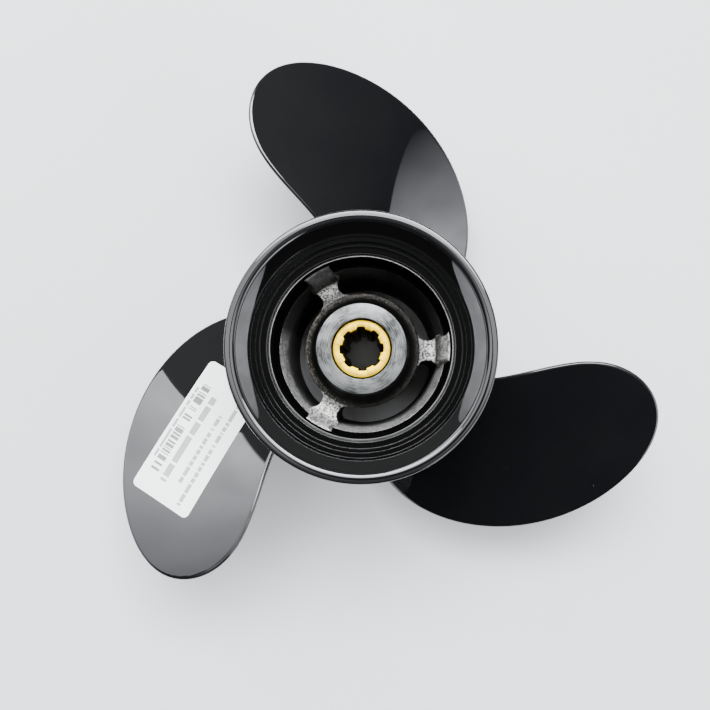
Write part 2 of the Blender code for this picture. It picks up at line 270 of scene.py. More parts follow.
def enamel_material():
    """Gloss black enamel with a clear coat, a little orange peel and dust."""
    material, tree, shader, coords = new_material(
        "gloss black enamel", Coat_Weight=1.0, Coat_Roughness=0.03, **CLEAR_COAT
    )
    cloud = noise(tree, coords, 35.0)
    black, worn = grey(0.003, (0.9, 0.95, 1.1)), grey(0.00375, (0.95, 0.97, 1.05))
    paint = mix_colours(tree, ramp(tree, cloud, 0.3, 0.8), black, worn)
    colour = mix_colours(tree, dust_specks(tree, coords, 170.0, 0.11 * MM), paint, DUST)
    feed(tree, shader, Base_Color=colour, Roughness=ramp(tree, cloud, 0.3, 0.7, 0.30, 0.42))
    bump(tree, shader, noise(tree, coords, *PEEL), 0.014 * MM)
    return material


ENAMEL = enamel_material()

# %% [markdown]
# Inside the bell the casting was turned on a lathe before it was painted, so fine rings show
# through the enamel. A pattern of rings depends only on the distance from the axis and the height:
# a noise of one number, stretched into ridges. A few rings are worn through to the metal, and each
# of those is a line at its own radius.

# %% Turned enamel


def ring_noise(tree, radius, height, scale):
    """Noise that changes only across the turning rings."""
    across = plus(tree, radius, times(tree, height, 0.73))
    inputs = {"W": across, "Scale": scale, "Detail": 4.0}
    return add_node(tree, "ShaderNodeTexNoise", inputs, noise_dimensions="1D").outputs["Fac"]


def ring_line(tree, radius, middle, half_width):
    """A thin ring: 1 on the line at this radius, fading to 0 at its half width."""
    off = maths(tree, "ABSOLUTE", minus(tree, radius, middle))
    return ramp(tree, off, half_width, half_width * 0.35)


def chatter_marks(tree, radius, angle, count, slant):
    """The tool's chatter: short slanted marks round a ring, and the patches where they show."""
    turns = plus(tree, times(tree, angle, count), times(tree, radius, slant))
    wave = ramp(tree, maths(tree, "SINE", turns), 0.0, 0.9)
    spot = joined(tree, maths(tree, "COSINE", angle), maths(tree, "SINE", angle))
    patch = noise(tree, spot, 1.7, 4.0, 0.6)
    return times(tree, wave, ramp(tree, patch, 0.35, 0.6)), patch


# Worn lines in the bowl, from the machined edge outwards: radius and half width in mm, brightness
LINES = (
    (32.40, 0.22, 0.9),
    (32.78, 0.08, 0.4),
    (33.22, 0.16, 0.4),
    (35.5, 0.40, 0.03),
)
# The chatter marks show near the machined edge: where they start and where they are full
HATCH_START = EDGE_RADIUS + 1.3 * MM
HATCH_FULL = EDGE_RADIUS + 0.9 * MM


def turned_enamel_material():
    """Black enamel over turned ridges, whose crests show thin lines of worn metal."""
    material, tree, shader, coords = new_material(
        "enamel over turned rings", Coat_Roughness=0.04, **CLEAR_COAT
    )
    radius, angle, height = polar_coords(tree, coords)
    marks, patch = chatter_marks(tree, radius, angle, 150.0, 26000.0)
    worn = times(tree, ramp(tree, radius, HATCH_START, HATCH_FULL), marks, 0.12)
    for middle, half_width, brightness in LINES:
        line = ring_line(tree, radius, middle * MM, half_width * MM)
        worn = largest(tree, worn, times(tree, line, brightness))
    in_bowl = maths(tree, "GREATER_THAN", height, EDGE_HEIGHT - 0.5 * MM)
    worn = times(tree, worn, ramp(tree, patch, 0.2, 0.55, 0.35, 1.0), in_bowl)
    paint = mix_colours(tree, noise(tree, coords, 35.0), grey(0.0012), grey(0.0018))
    paint = mix_colours(tree, dust_specks(tree, coords, 260.0, 0.09 * MM), paint, DUST)
    colour = mix_colours(tree, worn, paint, grey(0.13, (1.0, 1.0, 0.95)))
    normal = add_node(tree, "ShaderNodeNewGeometry").outputs["True Normal"]
    upward = ramp(tree, split(tree, normal)[2], 0.2, 0.6)
    coat = times(tree, minus(tree, 1.0, worn), upward)
    rough = ramp(tree, ring_noise(tree, radius, height, 2600.0), 0.3, 0.8, 0.26, 0.40)
    feed(tree, shader, Base_Color=colour, Metallic=worn, Coat_Weight=coat, Roughness=rough)
    bump(tree, shader, noise(tree, coords, *PEEL), 0.008 * MM)
    return material


TURNED_ENAMEL = turned_enamel_material()

# %% [markdown]
# The hub's face is bare metal. It has the same rings on a bright metallic base, but its look comes
# more from the tool's chatter, a noise stretched along the radius, and from stains, a plain noise.

# %% Turned face


def hub_face_material():
    """Bare turned aluminium: bright rings broken up by the tool's chatter."""
    material, tree, shader, coords = new_material("turned aluminium face", Metallic=1.0)
    radius, angle, height = polar_coords(tree, coords)
    rings = ring_noise(tree, radius, height, 3600.0)
    spot = joined(tree, times(tree, radius, 2400.0), times(tree, angle, 3.0))
    chatter = noise(tree, spot, 1.0, 6.0, 0.7)
    cloud = noise(tree, coords, 110.0, 5.0, 0.6)
    parts = ((rings, 0.12), (chatter, 0.43), (cloud, 0.45))
    both = plus(tree, *(times(tree, value, weight) for value, weight in parts))
    dark, light = grey(0.010, (0.97, 1.0, 1.0)), grey(0.135, (0.98, 1.0, 0.98))
    colour = mix_colours(tree, ramp(tree, both, 0.38, 0.60), dark, light)
    feed(tree, shader, Base_Color=colour, Roughness=ramp(tree, chatter, 0.3, 0.7, 0.36, 0.54))
    bump(tree, shader, both, 0.03 * MM, 0.8)
    bump(tree, shader, noise(tree, coords, 1500.0, 2.0), 0.01 * MM, 0.6)
    return material


HUB_FACE = hub_face_material()

# %% [markdown]
# The spokes and the ledge were left as they came out of the sand: pale grey, grainy and matt, with small
# dark pits. The far side of the ribs and the passages is darker, and painted shade darkens the crease at
# a rib's foot and the deep parts of the ribs and the passage wall. One function makes all of these from
# the same grain, and each finish says which parts are covered.

# %% Rough cast finishes


def cast_material(name, dark, light, grain, stretch=1.0, **cover):
    """Rough cast aluminium: fine grit and larger blotches, darkened towards black over parts of it.

    A cover is two places and how much it darkens. A dark side starts at the first Y and is full at the
    second. The painted shade of a deep part or a floor is full below the first height and gone above the
    second, and a hub part darkens the same by its radius. The painted shade of a crease lies along a
    single radius.
    """
    material, tree, shader, coords = new_material(name, Specular_IOR_Level=0.35)
    cells = vector_maths(tree, "MULTIPLY", coords, (1.0, 1.0, stretch))
    blotch = noise(tree, cells, 300.0, 3.0, 0.6)
    grit = noise(tree, cells, 1200.0, 4.0, 0.75)
    shade = plus(tree, times(tree, blotch, 0.25), times(tree, grit, 0.75))
    colour = mix_colours(tree, ramp(tree, shade, 0.42, 0.57), dark, light)
    radius, angle, height = polar_coords(tree, coords)
    uneven = times(tree, minus(tree, blotch, 0.5), 2.4 * MM)
    ragged = plus(tree, uneven, times(tree, minus(tree, grit, 0.5), 3.0 * MM))
    across = times(tree, radius, maths(tree, "SINE", plus(tree, angle, 0.15)))
    shaded_side = ramp(tree, across, -12 * MM, -5 * MM)
    masks = []
    # Darker towards black on the side towards +Y, the far side of the ribs and the passages.
    if "mist" in cover:
        start, full, most = cover["mist"]
        masks.append(ramp(tree, plus(tree, across, uneven), start, full, 0.0, most))
    # Painted shade: darker low down on the shaded side, where less light reaches.
    if "deep" in cover:
        low = ramp(tree, plus(tree, height, ragged), *cover["deep"], 0.0)
        masks.append(times(tree, low, shaded_side))
    # Painted shade: darker deep in the passage, where less light reaches.
    if "floor" in cover:
        masks.append(ramp(tree, height, *cover["floor"], 0.0))
    # Darker towards the hub.
    if "hub" in cover:
        masks.append(ramp(tree, plus(tree, radius, ragged), *cover["hub"], 0.0))
    # Painted shade: a dark line along the crease at a rib's foot, on the shaded side and low down.
    if "crease" in cover:
        off = maths(tree, "ABSOLUTE", minus(tree, plus(tree, radius, ragged), cover["crease"]))
        low = maths(tree, "LESS_THAN", height, SPOKE_TOP + 3.0 * MM)
        masks.append(times(tree, ramp(tree, off, 1.0 * MM, 0.35 * MM), shaded_side, low, 0.95))
    # bare is the share that no cover darkens. Every cover darkens towards the same near-black, and the
    # crease, deep and floor covers are painted shade.
    bare = minus(tree, 1.0, largest(tree, *masks))
    colour = mix_colours(tree, bare, grey(0.006, (1.1, 1.0, 0.9)), colour)
    rough = ramp(tree, grit, 0.2, 0.8, 0.48, 0.68)
    feed(tree, shader, Base_Color=colour, Metallic=times(tree, bare, 0.33), Roughness=rough)
    bump(tree, shader, blotch, grain * 2.0, 0.6)
    bump(tree, shader, grit, grain, 1.0)
    return material


WARM = (1.0, 1.0, 0.93)
# The radius of the painted shade in the crease at a rib's foot
CREASE = RIB_FOOT_RADIUS - 0.6 * MM
# The spokes' crease cover is painted shade, and their hub cover darkens them towards the hub.
BARE_CAST = cast_material(
    "bare cast aluminium", grey(0.03, WARM), grey(0.68, WARM), 0.14 * MM,
    crease=CREASE, hub=(22.5 * MM, 26 * MM, 0.7),
)
# The ribs' crease and deep covers are painted shade, and their dark side darkens the far rib.
RIB_CAST = cast_material(
    "bare cast ribs", grey(0.08, WARM), grey(0.50, WARM), 0.14 * MM, 0.12,
    crease=CREASE, mist=(8 * MM, 16 * MM, 0.84), deep=(71 * MM, 80 * MM, 0.8),
)
# The passage wall's floor cover is painted shade, and its dark side darkens the far side.
GREY_CAST = cast_material(
    "rough cast passage wall", grey(0.08, WARM), grey(0.38, WARM), 0.12 * MM,
    mist=(-4 * MM, 4 * MM, 0.93), floor=(60 * MM, 66 * MM, 0.8),
)


# %% [markdown]
# The inner hub's side has the same grain under black paint. Painted light brightens the shoulder's edge,
# most of all on one side, with painted shade in the cove next to the face, and tiny glints of metal show
# where it is brightest.

# %% Painted rough casting


def misted_material():
    """Rough casting under black paint, with painted light and tiny metal glints on the shoulder's edge.
    """
    material, tree, shader, coords = new_material("painted rough casting", Specular_IOR_Level=0.10)
    grain = noise(tree, coords, 950.0, 4.0, 0.75)
    fine = noise(tree, coords, 1500.0, 2.0, 0.7)
    radius, angle, _ = polar_coords(tree, coords)
    # Painted light: lighter towards the shoulder's outer edge and most on the side towards 150 degrees,
    # with painted shade in the cove by the face. The metal glints follow it.
    shoulder_light = ramp(tree, radius, SHOULDER_RADIUS - 2.8 * MM, SHOULDER_RADIUS - 0.2 * MM)
    side = maths(tree, "COSINE", minus(tree, angle, math.radians(150.0)))
    shoulder_light = times(tree, shoulder_light, ramp(tree, side, -0.8, 0.8, 0.15, 0.85))
    brown = (1.1, 1.0, 0.85)
    shade = times(tree, ramp(tree, grain, 0.40, 0.62), shoulder_light)
    colour = mix_colours(tree, shade, grey(0.0015, brown), grey(0.07, brown))
    glints = times(tree, ramp(tree, fine, 0.58, 0.70), shoulder_light)
    colour = mix_colours(tree, glints, colour, grey(0.30, (1.1, 1.0, 0.78)))
    rough = ramp(tree, grain, 0.2, 0.8, 0.34, 0.60)
    feed(tree, shader, Base_Color=colour, Metallic=times(tree, glints, 0.6), Roughness=rough)
    bump(tree, shader, grain, 0.20 * MM, 1.0)
    return material


DARK_CAST = misted_material()

# %% [markdown]
# Brass, rubber and paper are the small pieces. Brass is a yellow metal with faint scratches that run
# every way, and it is darker below the sleeve's rear face, down the bore. Rubber is matt and slightly
# mottled. The paper label gets its print from its own UV map, in a later cell, once the label has one.

# %% Brass and rubber


def brass_material():
    """Satin brass with fine scratches and small dark spots, and a dark bore."""
    material, tree, shader, coords = new_material("satin brass", Metallic=1.0)
    cloud = noise(tree, coords, 260.0, 4.0)
    grit = noise(tree, coords, 2600.0, 3.0, 0.7)
    pale, deep = (0.66, 0.44, 0.015, 1.0), (0.46, 0.285, 0.01, 1.0)
    spots, bore_dark = (0.22, 0.12, 0.012, 1.0), (0.035, 0.025, 0.016, 1.0)
    colour = mix_colours(tree, ramp(tree, cloud, 0.35, 0.7), pale, deep)
    colour = mix_colours(tree, ramp(tree, grit, 0.58, 0.74, 0.0, 0.8), colour, spots)
    height = split(tree, coords)[2]
    # Darker below the sleeve's rear face, down the bore.
    inside = ramp(tree, height, SLEEVE_REAR - 0.9 * MM, SLEEVE_REAR - 0.3 * MM, 0.9, 0.0)
    colour = mix_colours(tree, inside, colour, bore_dark)
    feed(tree, shader, Base_Color=colour, Roughness=ramp(tree, grit, 0.2, 0.8, 0.40, 0.56))
    bump(tree, shader, grit, 0.02 * MM, 0.8)
    return material


def rubber_material():
    """Matt black moulded rubber."""
    material, tree, shader, coords = new_material("moulded rubber")
    cloud = noise(tree, coords, 500.0, 3.0)
    colour = mix_colours(tree, cloud, grey(0.012), grey(0.028))
    feed(tree, shader, Base_Color=colour, Roughness=ramp(tree, cloud, 0.3, 0.7, 0.62, 0.82))
    bump(tree, shader, cloud, 0.03 * MM, 0.6)
    return material


BRASS = brass_material()
RUBBER = rubber_material()

# %% [markdown]
# Most of the casting is turned, so a profile spun about the axis gives it. The Screw modifier does
# that. A profile is a list of (radius, height) points that runs down the outside and up the inside,
# and a helper turns its corners into small arcs so that every edge catches the light.

# %% Helpers for shapes


def collect(item):
    """Links an object to the scene."""
    bpy.context.scene.collection.objects.link(item)
    return item


def frozen(item, name):
    """A plain mesh object from the evaluated one, which is removed with its modifiers."""
    graph = bpy.context.evaluated_depsgraph_get()
    mesh = bpy.data.meshes.new_from_object(item.evaluated_get(graph))
    mesh.name = name
    mesh.transform(item.matrix_world)
    bpy.data.objects.remove(item, do_unlink=True)
    return collect(bpy.data.objects.new(name, mesh))


def smooth(item, degrees=35.0):
    """Shades a mesh smooth, apart from edges sharper than the angle."""
    item.data.shade_smooth()
    item.data.set_sharp_from_angle(angle=math.radians(degrees))
    return item


def mesh_from(name, points, faces):
    """A mesh object from points and faces."""
    mesh = bpy.data.meshes.new(name)
    mesh.from_pydata([tuple(point) for point in points], [], faces)
    return collect(bpy.data.objects.new(name, mesh))


def arc(centre, radius, start, end, count):
    """Points along an arc, in degrees, in the plane of a profile or an outline."""
    angles = np.radians(np.linspace(start, end, count))
    return [(centre[0] + radius * math.cos(a), centre[1] + radius * math.sin(a)) for a in angles]


def rounded(points, radius, count=4, closed=True):
    """The outline with each corner replaced by an arc-like curve of about this radius."""
    result = []
    total = len(points)
    for index, point in enumerate(points):
        here = np.array(point)
        if not closed and index in (0, total - 1):
            result.append(tuple(here))
            continue
        before = np.array(points[index - 1]) - here
        after = np.array(points[(index + 1) % total]) - here
        reach = min(radius, 0.45 * np.linalg.norm(before), 0.45 * np.linalg.norm(after))
        start = here + before / np.linalg.norm(before) * reach
        end = here + after / np.linalg.norm(after) * reach
        for step in np.linspace(0, 1, count):
            result.append(tuple((1 - step) ** 2 * start + 2 * step * (1 - step) * here + step**2 * end))
    return result


def turned(name, profile, steps):
    """A closed profile turned about the shaft's axis, as a plain mesh."""
    mesh = bpy.data.meshes.new(name)
    edges = [(i, (i + 1) % len(profile)) for i in range(len(profile))]
    mesh.from_pydata([(radius, 0.0, height) for radius, height in profile], edges, [])
    item = collect(bpy.data.objects.new(name + "_profile", mesh))
    screw = item.modifiers.new("Turn", "SCREW")
    screw.steps = steps
    screw.render_steps = steps
    screw.use_merge_vertices = True
    screw.merge_threshold = 0.005 * MM
    return frozen(item, name)


def paint_faces(item, materials, choose):
    """Gives each face the material whose number the rule returns for its centre and normal."""
    item.data.materials.clear()
    for material in materials:
        item.data.materials.append(material)
    for face in item.data.polygons:
        radius = math.hypot(face.center.x, face.center.y)
        outward = (face.center.x * face.normal.x + face.center.y * face.normal.y) / max(radius, 1e-9)
        face.material_index = choose(radius, face.center.z, outward)


# %% [markdown]
# The lathe left five low steps in the bowl inside the bell, each a flat tread and a steep riser, and
# from the last one a smooth cone climbs to the lip. They are real geometry here, because at this
# size each riser catches its own line of light. Smooth shading would bend the light across a wide
# tread, so a point near each of its ends holds it flat. The lip is a bead, soft inside and squarer
# outside.

# %% Bowl and lip
# The radii of the risers, and the share of the whole climb that each one takes
STEPS = np.array([32.85, 33.35, 35.4, 36.8, 38.5]) * MM
STEP_SHARES = (0.22, 0.22, 0.23, 0.23, 0.10)
TREAD_SLOPE = 0.03
RISER_LEAN = 0.04 * MM
STEP_ROUND = 0.03 * MM
HOLD = 0.02 * MM
BOWL_END = (LIP_RADIUS - LIP_WIDTH, HUB_LENGTH - LIP_DIP)


def hold_flats(points, near):
    """The same line with a point near both ends of each long straight."""
    line = [points[0]]
    for start, end in zip(points, points[1:]):
        length = math.dist(start, end)
        if length > 8 * near:
            for share in (near / length, 1 - near / length):
                line.append(tuple(a + (b - a) * share for a, b in zip(start, end)))
        line.append(end)
    return line


def bowl_inside():
    """The inside of the bell: the machined edge, the stepped treads, then a cone up to the lip."""
    corners = [(EDGE_RADIUS + 0.1 * MM, EDGE_HEIGHT + 0.1 * MM)]
    climb = GROOVE_HEIGHT - corners[0][1] - TREAD_SLOPE * (GROOVE_RADIUS - corners[0][0])
    for radius, share in zip(STEPS, STEP_SHARES):
        level = corners[-1][1] + TREAD_SLOPE * (radius - corners[-1][0])
        corners += [(radius, level), (radius + RISER_LEAN, level + share * climb)]
    reach, climb = BOWL_END[0] - GROOVE_RADIUS, BOWL_END[1] - GROOVE_HEIGHT
    corners.append((GROOVE_RADIUS, GROOVE_HEIGHT))
    corners.append((GROOVE_RADIUS + 0.06 * reach, GROOVE_HEIGHT + 0.054 * climb))
    points = hold_flats(rounded(corners, STEP_ROUND, 5, closed=False), HOLD)
    for share in np.linspace(0.1, 1.0, 24):
        height = GROOVE_HEIGHT + climb * (0.9 * share + 0.1 * share**2)
        points.append((GROOVE_RADIUS + reach * share, height))
    return points


def lip_bead():
    """The lip's rounded top, from the bowl over to the outside: soft inside, squarer outside."""
    crest = LIP_RADIUS - LIP_CREST
    bead = []
    inner = (LIP_WIDTH - LIP_CREST, LIP_DIP, LIP_SOFTNESS, 172, 91)
    outer = (LIP_CREST, LIP_ROUND, LIP_SQUARENESS, 90, 0)
    for half, drop, power, start, end in (inner, outer):
        for x, y in arc((0, 0), 1.0, start, end, 24):
            flat = (abs(x) ** power + abs(y) ** power) ** (-1 / power)
            bead.append((crest + half * x * flat, HUB_LENGTH + drop * (y * flat - 1)))
    return bead


# %% [markdown]
# The barrel is the outer tube. Its outside swells into the bell by a power law, and its inside is
# the rough passage wall, the ledge and the chamber under the bowl. The whole wall is one closed
# profile, and a rule on each face's place gives it its finish.

# %% Barrel and bell


def flare_outside():
    """The outside of the bell, from under the lip down to the straight barrel."""
    top = HUB_LENGTH - LIP_ROUND
    points = []
    for share in np.linspace(0.985, 0.0, 40):
        swell = (LIP_RADIUS - BARREL_RADIUS) * share**FLARE_POWER
        points.append((BARREL_RADIUS + swell, FLARE_START + (top - FLARE_START) * share))
    return points


def barrel_profile():
    """The whole wall: over the lip, down the outside, under the front rim and up the inside."""
    outside = flare_outside()
    outside += [(BARREL_RADIUS, height) for height in np.arange(70.0, 2.0, -2.0) * MM]
    rim = [
        (BARREL_RADIUS, RIM_CHAMFER),
        (BARREL_RADIUS - RIM_CHAMFER, 0.0),
        (PASSAGE_RADIUS_FRONT + RIM_CHAMFER, 0.0),
        (PASSAGE_RADIUS_FRONT, RIM_CHAMFER),
    ]
    rim = [(BARREL_RADIUS, 1.5 * MM), *rounded(rim, 0.3 * MM), (PASSAGE_RADIUS_FRONT, 1.5 * MM)]
    inside = [
        (PASSAGE_RADIUS, LEDGE_LOW),
        (LEDGE_RADIUS, LEDGE_HIGH),
        (CHAMBER_RADIUS, LEDGE_HIGH + 1.0 * MM),
        (CHAMBER_RADIUS, EDGE_HEIGHT - 1.2 * MM),
    ]
    inside = rounded([(PASSAGE_RADIUS_FRONT, 2.0 * MM), *inside], 0.25 * MM, closed=False)
    inside.append((EDGE_RADIUS, EDGE_HEIGHT - 0.2 * MM))
    return outside + rim + inside + bowl_inside() + lip_bead()


def barrel_zone(radius, height, outward):
    """Which finish a face of the barrel has: 0 enamel, 1 turned enamel, 2 rough passage wall."""
    if outward > 0.2 or radius > LIP_RADIUS - 1.05 * LIP_WIDTH or height < 1.0 * MM:
        return 0
    return 1 if height > LEDGE_HIGH + 0.3 * MM else 2


barrel = turned("barrel_and_bell", barrel_profile(), 240)
smooth(barrel)
paint_faces(barrel, [ENAMEL, TURNED_ENAMEL, GREY_CAST], barrel_zone)
print("barrel triangles:", sum(len(face.vertices) - 2 for face in barrel.data.polygons))

# %% [markdown]
# The inner hub stands in the middle of the barrel. Only its rear face is turned bright, and it
# falls away a little towards its edge. The side keeps the sand's grain under a thin black paint and
# runs out through a hollow cove into the shoulder that the spokes leave from.

# %% Inner hub


def inner_hub_profile():
    """The inner hub, from its rear face down the outside and up the bore for the bushing."""
    corners = []
    for radius in np.linspace(CROWN_START, FACE_RADIUS + 0.1 * MM, 10):
        share = (radius - CROWN_START) / (FACE_RADIUS - CROWN_START)
        corners.append((radius, FACE_HEIGHT - CROWN * share**2))
    corners.append((FACE_RADIUS + 0.35 * MM, FACE_HEIGHT - CROWN - 0.6 * MM))
    corners.append((FACE_RADIUS + 0.8 * MM, SHOULDER_HEIGHT + COVE_HEIGHT + 3.0 * MM))
    cove_edge = SHOULDER_RADIUS - 0.3 * MM
    cove_width = cove_edge - (FACE_RADIUS + 1.0 * MM)
    for turn in np.radians(np.linspace(4, 90, 14)):
        height = SHOULDER_HEIGHT + COVE_HEIGHT * (1 - math.sin(turn))
        corners.append((cove_edge - cove_width * math.cos(turn), height))
    corners += [
        (SHOULDER_RADIUS, SHOULDER_HEIGHT - 0.5 * MM),
        (INNER_FRONT_RADIUS, INNER_FRONT + 0.5 * MM),
        (INNER_FRONT_RADIUS - 0.5 * MM, INNER_FRONT),
        (BUSH_BORE + 0.8 * MM, INNER_FRONT),
        (BUSH_BORE, INNER_FRONT + 0.8 * MM),
        (BUSH_BORE, BUSH_BORE_END),
        (FACE_BORE, BUSH_BORE_END + 2.0 * MM),
        (FACE_BORE, FACE_HEIGHT - 0.15 * MM),
        (FACE_BORE + 0.15 * MM, FACE_HEIGHT),
    ]
    return rounded(corners, 0.25 * MM, 4)


def inner_hub_zone(radius, height, outward):
    """Which finish a face of the inner hub has: 0 turned face and bore, 1 rough painted casting."""
    on_face = height > FACE_HEIGHT - CROWN - 0.15 * MM and radius < FACE_RADIUS + 0.25 * MM
    in_bore = height > BUSH_BORE_END and radius < FACE_BORE + 0.3 * MM
    return 0 if on_face or in_bore else 1


inner_hub = turned("inner_hub", inner_hub_profile(), 160)
smooth(inner_hub)
paint_faces(inner_hub, [HUB_FACE, DARK_CAST], inner_hub_zone)

# %% [markdown]
# Three spokes, three blades and eight splines all repeat round one axis, so one Geometry Nodes tree
# serves them all. It takes a single sector, sets copies of it on points at the origin, and turns
# each copy by its share of a full turn. Realize Instances makes them real, Merge by Distance closes
# the seams where neighbouring copies meet, and Set Material comes last.

# %% A tree that repeats a piece round the shaft


def new_tree(name, sockets):
    """An empty Geometry Nodes tree with a geometry input and output, and named inputs."""
    tree = bpy.data.node_groups.new(name, "GeometryNodeTree")
    tree.interface.new_socket("Geometry", in_out="INPUT", socket_type="NodeSocketGeometry")
    tree.interface.new_socket("Geometry", in_out="OUTPUT", socket_type="NodeSocketGeometry")
    for label, kind in sockets:
        tree.interface.new_socket(label, in_out="INPUT", socket_type=kind)
    entry = tree.nodes.new("NodeGroupInput")
    end = tree.nodes.new("NodeGroupOutput")
    return tree, entry.outputs, end.inputs


def realised(tree, given, result, geometry):
    """The end of every tree here: real geometry instead of instances, then the finish."""
    real = add_node(tree, "GeometryNodeRealizeInstances", {"Geometry": geometry}).outputs[0]
    if "Merge distance" in given:
        inputs = {"Geometry": real, "Distance": given["Merge distance"]}
        real = add_node(tree, "GeometryNodeMergeByDistance", inputs).outputs[0]
    inputs = {"Geometry": real, "Material": given["Finish"]}
    finished = add_node(tree, "GeometryNodeSetMaterial", inputs).outputs[0]
    tree.links.new(finished, result["Geometry"])
    return tree


def ring_tree():
    """Copies of a sector round the shaft's axis."""
    sockets = [
        ("Count", "NodeSocketInt"),
        ("First angle", "NodeSocketFloat"),
        ("Direction", "NodeSocketFloat"),
        ("Merge distance", "NodeSocketFloat"),
        ("Finish", "NodeSocketMaterial"),
    ]
    tree, given, result = new_tree("repeat round the shaft", sockets)
    points = add_node(tree, "GeometryNodePoints", {"Count": given["Count"]}).outputs[0]
    step = maths(tree, "DIVIDE", times(tree, TURN, given["Direction"]), given["Count"])
    index = add_node(tree, "GeometryNodeInputIndex").outputs[0]
    angle = plus(tree, times(tree, step, index), given["First angle"])
    inputs = {"Points": points, "Instance": given["Geometry"], "Rotation": joined(tree, z=angle)}
    copies = add_node(tree, "GeometryNodeInstanceOnPoints", inputs).outputs[0]
    return realised(tree, given, result, copies)


def add_tree(item, tree, **values):
    """Puts a tree on an object as a modifier and sets its inputs by their identifiers."""
    modifier = item.modifiers.new(tree.name, "NODES")
    modifier.node_group = tree
    for socket in tree.interface.items_tree:
        key = socket.name.replace(" ", "_")
        if getattr(socket, "in_out", None) == "INPUT" and key in values:
            modifier[socket.identifier] = values[key]
    return modifier


RING = ring_tree()


def repeated(item, name, count, first=0.0, direction=1.0, merge=0.001 * MM, finish=None):
    """The piece repeated round the shaft, as one plain mesh."""
    values = {"Count": count, "First_angle": first, "Direction": direction}
    add_tree(item, RING, Merge_distance=merge, Finish=finish, **values)
    return frozen(item, name)


# %% [markdown]
# A spoke is a flat outline pushed along the axis: a filled 2D curve with an extrusion and a small
# bevel on its edges. Arcs flare it into the inner hub and out to the barrel's wall. Its top is bare,
# and the part below, deep in the passages, is painted.

# %% Spokes
SPOKE_BEVEL = 0.35 * MM
FLARE_SHIFT = 0.9 * MM
FLARE_END = 338


def spoke_outline():
    """A spoke along +X: a waisted web that flares into the inner hub and out to the barrel."""
    hub = SHOULDER_RADIUS + 0.4 * MM
    level = SPOKE_WAIST / 2 + HUB_FLARE
    centre = (math.sqrt((hub + HUB_FLARE) ** 2 - level**2), level)
    touch = 180 + math.degrees(math.atan2(centre[1], centre[0]))
    side = [(BUSH_BORE + 1.0 * MM, hub * centre[1] / (hub + HUB_FLARE))]
    side += arc(centre, HUB_FLARE, touch, 270, 12)
    wall_centre = (centre[0] + FLARE_SHIFT, SPOKE_WAIST / 2 + WALL_FLARE)
    side += arc(wall_centre, WALL_FLARE, 270, FLARE_END, 12)
    across = side[-1][1] + 0.3 * MM
    side += [(PASSAGE_RADIUS + 1.2 * MM, across), (BARREL_RADIUS - 2.0 * MM, across)]
    return side + [(along, -across) for along, across in reversed(side)]


def extruded(name, outline, low, high, bevel):
    """A flat outline pushed from one height to another, with rounded edges, as a mesh."""
    curve = bpy.data.curves.new(name, "CURVE")
    curve.dimensions = "2D"
    curve.fill_mode = "BOTH"
    curve.extrude = (high - low) / 2 - bevel
    curve.bevel_depth = bevel
    curve.bevel_resolution = 3
    curve.offset = -bevel
    spline = curve.splines.new("POLY")
    spline.points.add(len(outline) - 1)
    spline.use_cyclic_u = True
    for point, (x, y) in zip(spline.points, outline):
        point.co = (x, y, 0.0, 1.0)
    guide = collect(bpy.data.objects.new(name + "_outline", curve))
    guide.location.z = (low + high) / 2
    bpy.context.view_layer.update()
    item = frozen(guide, name)
    tidy_mesh(item, 0.003 * MM)
    return item


def tidy_mesh(item, distance):
    """Merges doubled points and turns every face outwards."""
    shape = bmesh.new()
    shape.from_mesh(item.data)
    bmesh.ops.remove_doubles(shape, verts=shape.verts, dist=distance)
    bmesh.ops.recalc_face_normals(shape, faces=shape.faces)
    shape.to_mesh(item.data)
    shape.free()


def spoke_zone(radius, height, outward):
    """Which finish a face of a spoke has, by its height alone: 0 bare on top, 1 painted below."""
    return 0 if height > SPOKE_TOP - 0.8 * MM else 1


spoke = extruded("spoke", spoke_outline(), SPOKE_FRONT, SPOKE_TOP, SPOKE_BEVEL)
spoke_turn = math.radians(SPOKE_ANGLE)
spokes = smooth(repeated(spoke, "spokes", BLADES, first=spoke_turn, finish=BARE_CAST), 50)
paint_faces(spokes, [BARE_CAST, DARK_CAST], spoke_zone)
print("spokes:", len(spokes.data.vertices), "points")

# %% [markdown]
# Above each spoke the wall carries a rough rib, where the mould's core was parted. It is a shell
# bent to the wall: its front leans back towards the wall as it climbs, meets it along both sides,
# and spreads out in a fillet where it stands on the spoke.

# %% Ribs on the wall
RIB_COLUMNS, RIB_ROWS = 36, 64
RIB_BACK_RADIUS = CHAMBER_RADIUS + 0.4 * MM
RIB_SIDE_POWER = 12


